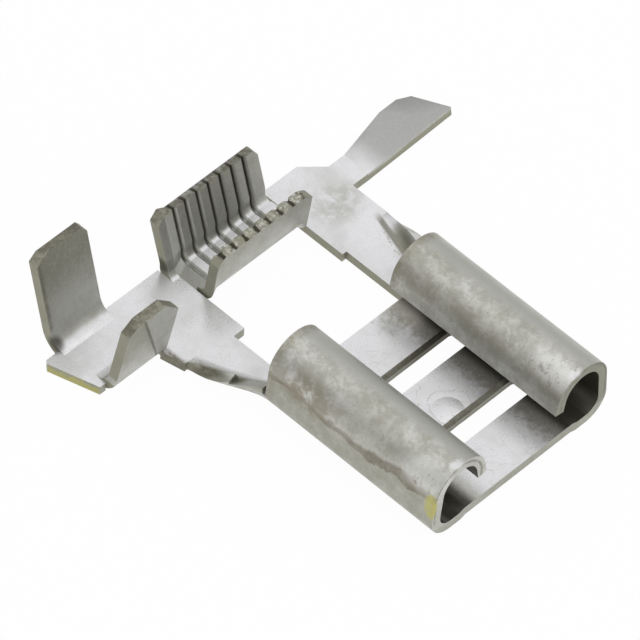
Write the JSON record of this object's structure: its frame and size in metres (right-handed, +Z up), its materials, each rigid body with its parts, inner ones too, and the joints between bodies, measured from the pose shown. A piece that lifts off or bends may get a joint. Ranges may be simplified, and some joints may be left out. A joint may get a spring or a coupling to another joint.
{
  "type": "female spade terminal",
  "caption": "Female spade terminal of the flag kind, folded from one tinned brass sheet, with rolled rails, a grooved conductor barrel and an insulation barrel, both open.",
  "frame": {"origin": "middle of the mouth's front edge, on the floor bars' top face where the tab lies", "axes": "+X out of the mouth, against the way the tab goes in; +Y from the near rail towards the leaf; +Z up from the floor bars"},
  "size_m": [0.014, 0.016, 0.0036],
  "materials": {
    "tin_plate": "satin tin plate"
  },
  "bodies": {
    "root": {"terminal": "tin_plate"}
  },
  "joints": []
}
